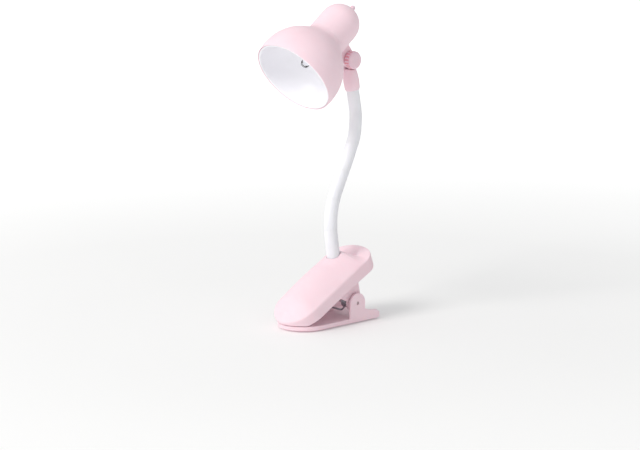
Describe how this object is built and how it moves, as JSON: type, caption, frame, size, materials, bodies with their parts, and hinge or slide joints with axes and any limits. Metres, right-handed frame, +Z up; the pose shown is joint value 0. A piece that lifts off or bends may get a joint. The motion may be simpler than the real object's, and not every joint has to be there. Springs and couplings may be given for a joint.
{
  "type": "clip on reading lamp",
  "caption": "Small battery reading lamp with a sprung clip base, a bendable gooseneck and a tilting bell shade on a domed head.",
  "frame": {"origin": "centre of the bounding box at the height of the clip's flat underside", "axes": "+Z up, +X out of the clip's mouth, the way the shade points, +Y the clamp knob's side"},
  "size_m": [0.0682, 0.0486, 0.1801],
  "materials": {
    "pink_shell": "satin moulded plastic",
    "white_plastic": "satin",
    "white_sleeve": "satin flexible sleeve",
    "bright_steel": "bright",
    "brass": "plain",
    "clear_lens": "clear",
    "board": "matt",
    "dark_plastic": "matt",
    "insulator": "matt"
  },
  "bodies": {
    "base": {"lower_jaw": "pink_shell", "pivot_pin": "bright_steel", "jaw_spring": "bright_steel"},
    "jaw": {"upper_jaw": "pink_shell", "neck_ferrule": "bright_steel", "neck_washer": "bright_steel", "neck_nut": "bright_steel", "gooseneck_1": "white_sleeve"},
    "neck_2": {"gooseneck_2": "white_sleeve"},
    "neck_3": {"gooseneck_3": "white_sleeve"},
    "neck_4": {"gooseneck_4": "white_sleeve"},
    "neck_5": {"gooseneck_5": "white_sleeve"},
    "neck_6": {"gooseneck_6": "white_sleeve"},
    "neck_tip": {"gooseneck_7": "white_sleeve", "neck_socket": "pink_shell", "clamp_nut": "bright_steel"},
    "head": {"head_housing": "pink_shell", "shade": "pink_shell", "reflector": "white_plastic", "led": "clear_lens", "led_board": "board", "cell_carrier": "white_plastic", "cell_1": "bright_steel", "cell_2": "bright_steel", "cell_3": "bright_steel", "contact_spring": "bright_steel", "contact_plate": "brass", "switch_body": "dark_plastic"},
    "knob": {"clamp_knob": "pink_shell", "clamp_screw": "bright_steel"},
    "button": {"switch_button": "pink_shell", "switch_plunger": "insulator"}
  },
  "joints": [
    {"name": "jaw_pivot", "type": "hinge", "parent": "base", "child": "jaw", "pos_m": [-0.01652, 0.00002, 0.0118], "axis": [0, -1, 0], "range_deg": [0, 40], "stiffness_Nm_per_rad": 0.25, "springref_deg": -28.65, "deforming": ["jaw_spring"]},
    {"name": "neck_bend_1", "type": "hinge", "parent": "jaw", "child": "neck_2", "pos_m": [-0.01026, 0.00002, 0.04505], "axis": [0, 1, 0], "range_deg": [-30, 30]},
    {"name": "neck_bend_2", "type": "hinge", "parent": "neck_2", "child": "neck_3", "pos_m": [-0.00958, 0.00002, 0.06202], "axis": [0.9925, 0, 0.1219], "range_deg": [-30, 30]},
    {"name": "neck_bend_3", "type": "hinge", "parent": "neck_3", "child": "neck_4", "pos_m": [-0.01503, 0.00002, 0.07806], "axis": [0, 1, 0], "range_deg": [-30, 30]},
    {"name": "neck_bend_4", "type": "hinge", "parent": "neck_4", "child": "neck_5", "pos_m": [-0.0226, 0.00002, 0.09333], "axis": [0.9069, 0, 0.4213], "range_deg": [-30, 30]},
    {"name": "neck_bend_5", "type": "hinge", "parent": "neck_5", "child": "neck_6", "pos_m": [-0.0283, 0.00002, 0.10928], "axis": [0, 1, 0], "range_deg": [-30, 30]},
    {"name": "neck_bend_6", "type": "hinge", "parent": "neck_6", "child": "neck_tip", "pos_m": [-0.02717, 0.00002, 0.12618], "axis": [0.9785, 0, -0.2061], "range_deg": [-30, 30]},
    {"name": "head_tilt", "type": "hinge", "parent": "neck_tip", "child": "head", "pos_m": [-0.02276, -0.00034, 0.14841], "axis": [-0.0087, 1, 0], "range_deg": [-95, 8]},
    {"name": "knob_turn", "type": "hinge", "parent": "neck_tip", "child": "knob", "pos_m": [-0.02276, -0.00034, 0.14841], "axis": [-0.0087, 1, 0], "range_deg": [0, 180]},
    {"name": "button_press", "type": "slide", "parent": "head", "child": "button", "axis": [0.7837, 0.0068, -0.6211], "range_m": [0, 0.001], "stiffness_N_per_m": 300, "springref_m": -0.003}
  ]
}
